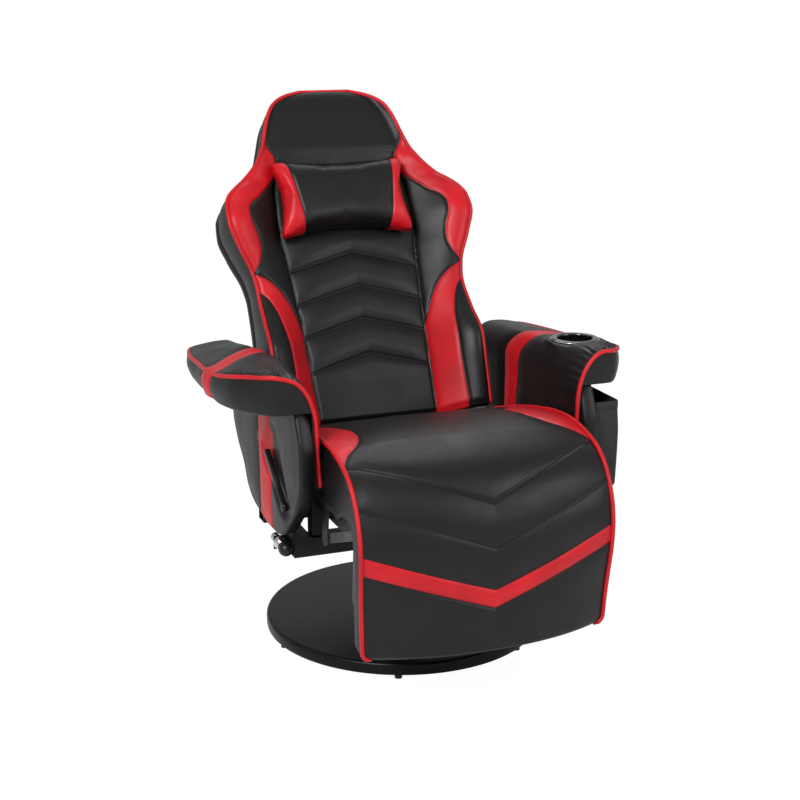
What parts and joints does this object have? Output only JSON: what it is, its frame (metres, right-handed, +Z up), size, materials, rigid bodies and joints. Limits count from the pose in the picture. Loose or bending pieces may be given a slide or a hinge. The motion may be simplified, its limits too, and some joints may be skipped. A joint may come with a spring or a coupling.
{
  "type": "reclining gaming chair",
  "caption": "High-backed padded recliner on a round swivel base, with winged back, head pillow, padded arms, cup holder, side pouch and a swing-up leg rest.",
  "frame": {"origin": "centre of the footprint at floor level, under the middle of the bounding box", "axes": "+Z up, the sitter faces -Y, +X to the sitter's left"},
  "size_m": [0.882, 1.105, 1.1302],
  "materials": {
    "black_leather": "satin",
    "red_leather": "satin",
    "black_steel": "satin",
    "bright_steel": "satin",
    "chrome": "polished",
    "plywood": "matt",
    "black_plastic": "satin",
    "black_fabric": "matt",
    "rubber": "matt"
  },
  "bodies": {
    "base": {"base_disc": "black_plastic", "base_foot_1": "rubber", "base_foot_2": "rubber", "base_foot_3": "rubber", "base_foot_4": "rubber", "base_foot_5": "rubber", "base_foot_6": "rubber", "pedestal_column": "black_steel", "lower_turntable_plate": "black_steel", "turntable_bearing": "bright_steel"},
    "seat_frame": {"upper_turntable_plate": "black_steel", "turntable_rail_left": "black_steel", "turntable_rail_right": "black_steel", "front_beam": "black_steel", "rear_beam": "black_steel", "front_post_left": "black_steel", "front_post_right": "black_steel", "rear_post_left": "black_steel", "rear_post_right": "black_steel", "seat_rail_left": "black_steel", "seat_rail_right": "black_steel", "arm_bracket_left": "black_steel", "arm_bracket_right": "black_steel", "legrest_pin_left": "bright_steel", "legrest_pin_right": "bright_steel", "seat_board": "plywood", "recline_shaft": "bright_steel", "arm_panel_left": "black_leather", "arm_panel_right": "black_leather", "arm_cushion_left": "black_leather", "arm_cushion_right": "black_leather", "cup_holder": "chrome", "side_pouch": "black_fabric", "lock_bracket": "black_steel", "lock_sleeve": "chrome", "seat_cushion": "black_leather"},
    "leg_rest": {"legrest_pad": "black_leather", "legrest_board": "plywood", "legrest_arm_left": "black_steel", "legrest_arm_right": "black_steel"},
    "drive_crank": {"drive_shaft": "bright_steel", "drive_crank_left": "black_steel", "drive_crank_right": "black_steel"},
    "leg_rest_link": {"legrest_link_left": "bright_steel", "legrest_link_right": "bright_steel"},
    "back_rest": {"back_centre_pad": "black_leather", "back_bolster_left": "red_leather", "back_bolster_right": "red_leather", "head_pad": "black_leather", "back_board": "plywood", "back_shell": "black_leather", "recline_bracket_left": "black_steel", "recline_bracket_right": "black_steel"},
    "pillow": {"head_pillow": "black_leather", "pillow_strap": "black_fabric"},
    "lever": {"release_lever": "black_plastic"},
    "lock": {"lock_knob": "black_plastic"}
  },
  "joints": [
    {"name": "seat_swivel", "type": "hinge", "parent": "base", "child": "seat_frame", "pos_m": [0, -0.0492, 0.197], "axis": [0, 0, 1], "continuous": true},
    {"name": "leg_rest_swing", "type": "hinge", "parent": "seat_frame", "child": "leg_rest", "pos_m": [0, -0.4742, 0.441], "axis": [-1, 0, 0], "range_deg": [0, 90]},
    {"name": "crank_turn", "type": "hinge", "parent": "seat_frame", "child": "drive_crank", "pos_m": [0, -0.2842, 0.368], "axis": [-1, 0, 0], "range_deg": [0, 90]},
    {"name": "link_pivot", "type": "hinge", "parent": "drive_crank", "child": "leg_rest_link", "pos_m": [0, -0.27559, 0.30852], "axis": [-1, 0, 0], "range_deg": [-90, 0]},
    {"name": "back_recline", "type": "hinge", "parent": "seat_frame", "child": "back_rest", "pos_m": [0, 0.1136, 0.37197], "axis": [-1, 0, 0], "range_deg": [0, 30]},
    {"name": "pillow_height", "type": "slide", "parent": "back_rest", "child": "pillow", "axis": [0, 0.4818, 0.8763], "range_m": [-0.02, 0.02]},
    {"name": "lever_pull", "type": "hinge", "parent": "seat_frame", "child": "lever", "pos_m": [-0.306, -0.2352, 0.372], "axis": [1, 0, 0], "range_deg": [0, 25], "stiffness_Nm_per_rad": 2},
    {"name": "lock_pull", "type": "slide", "parent": "seat_frame", "child": "lock", "axis": [0, -1, 0], "range_m": [0, 0.012], "stiffness_N_per_m": 400}
  ],
  "couplings": [
    {"joint": "crank_turn", "follows": "leg_rest_swing", "ratio": 1},
    {"joint": "link_pivot", "follows": "leg_rest_swing", "ratio": -1}
  ]
}
